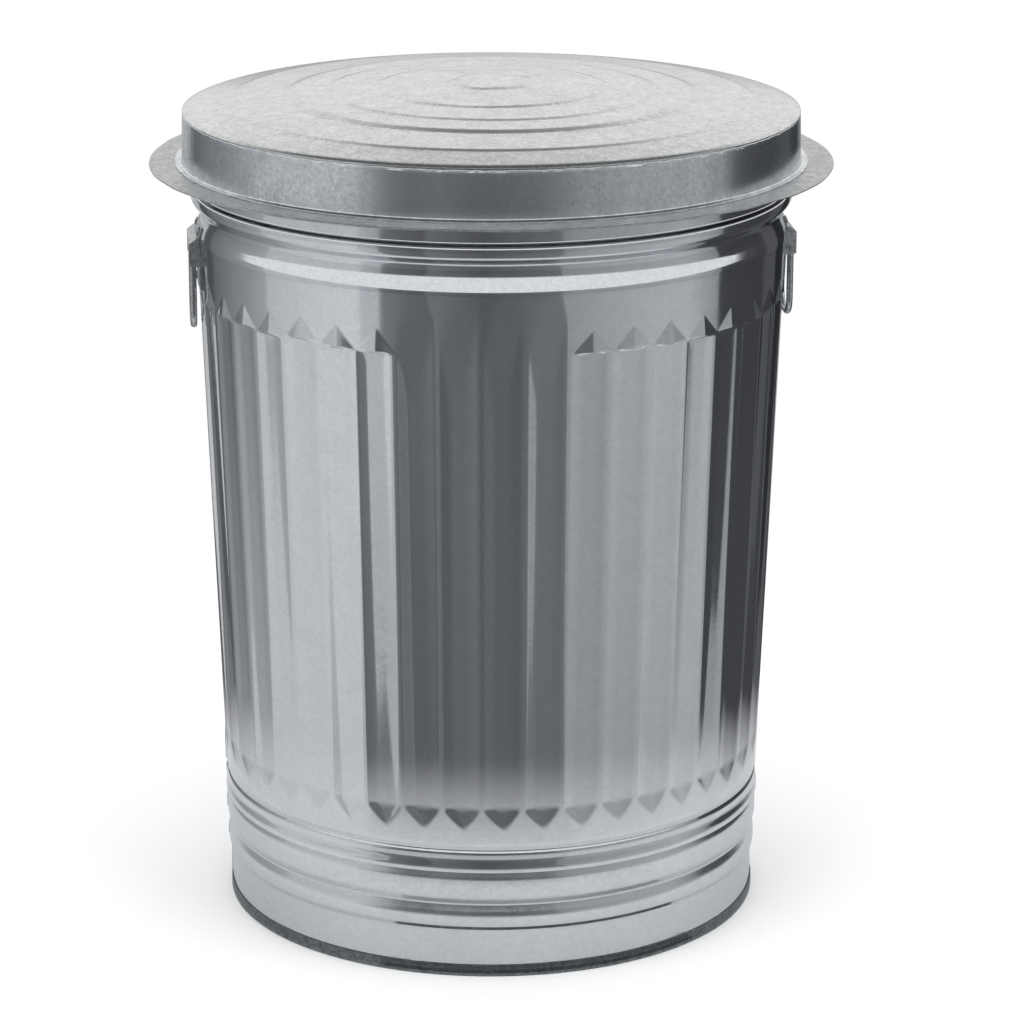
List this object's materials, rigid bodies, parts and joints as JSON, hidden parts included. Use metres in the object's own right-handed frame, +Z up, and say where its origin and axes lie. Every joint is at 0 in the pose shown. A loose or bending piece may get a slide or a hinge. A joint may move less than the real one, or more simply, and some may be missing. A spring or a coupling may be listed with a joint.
{
  "type": "dustbin",
  "caption": "Round galvanised steel dustbin with a fluted tapering wall, swaged base band, hinged wire side handles and a stepped lift-off lid.",
  "frame": {"origin": "centre of the foot hoop's lower edge, on the floor", "axes": "+Z up along the can's axis; +X and -X point at the two side handles; -Y is the front with the bare name place"},
  "size_m": [0.5159, 0.516, 0.6402],
  "materials": {
    "wall_zinc": "bright galvanised, satin with fine spangle",
    "band_zinc": "bright galvanised, smooth satin",
    "hoop_zinc": "dark dull zinc",
    "ear_zinc": "galvanised, dull satin",
    "rivet_steel": "plated, dull",
    "wire_zinc": "galvanised wire, satin",
    "lid_zinc": "galvanised, matte mottled"
  },
  "bodies": {
    "can": {"can_wall": "wall_zinc", "rim_wire": "wire_zinc", "base_band": "band_zinc", "base_pan": "band_zinc", "foot_hoop": "hoop_zinc", "left_ear": "ear_zinc", "right_ear": "ear_zinc", "left_rivets": "rivet_steel", "right_rivets": "rivet_steel"},
    "left_bail": {"left_bail": "wire_zinc"},
    "right_bail": {"right_bail": "wire_zinc"},
    "lid": {"lid_top": "lid_zinc", "lid_band": "lid_zinc", "lid_brim": "lid_zinc"}
  },
  "joints": [
    {"name": "lid_lift", "type": "slide", "parent": "can", "child": "lid", "axis": [0, 0, 1], "range_m": [0, 0.4]},
    {"name": "left_bail_pivot", "type": "hinge", "parent": "can", "child": "left_bail", "pos_m": [-0.22701, 0, 0.512], "axis": [0, 1, 0], "range_deg": [-2, 95]},
    {"name": "right_bail_pivot", "type": "hinge", "parent": "can", "child": "right_bail", "pos_m": [0.22701, 0, 0.512], "axis": [0, -1, 0], "range_deg": [-2, 95]}
  ]
}
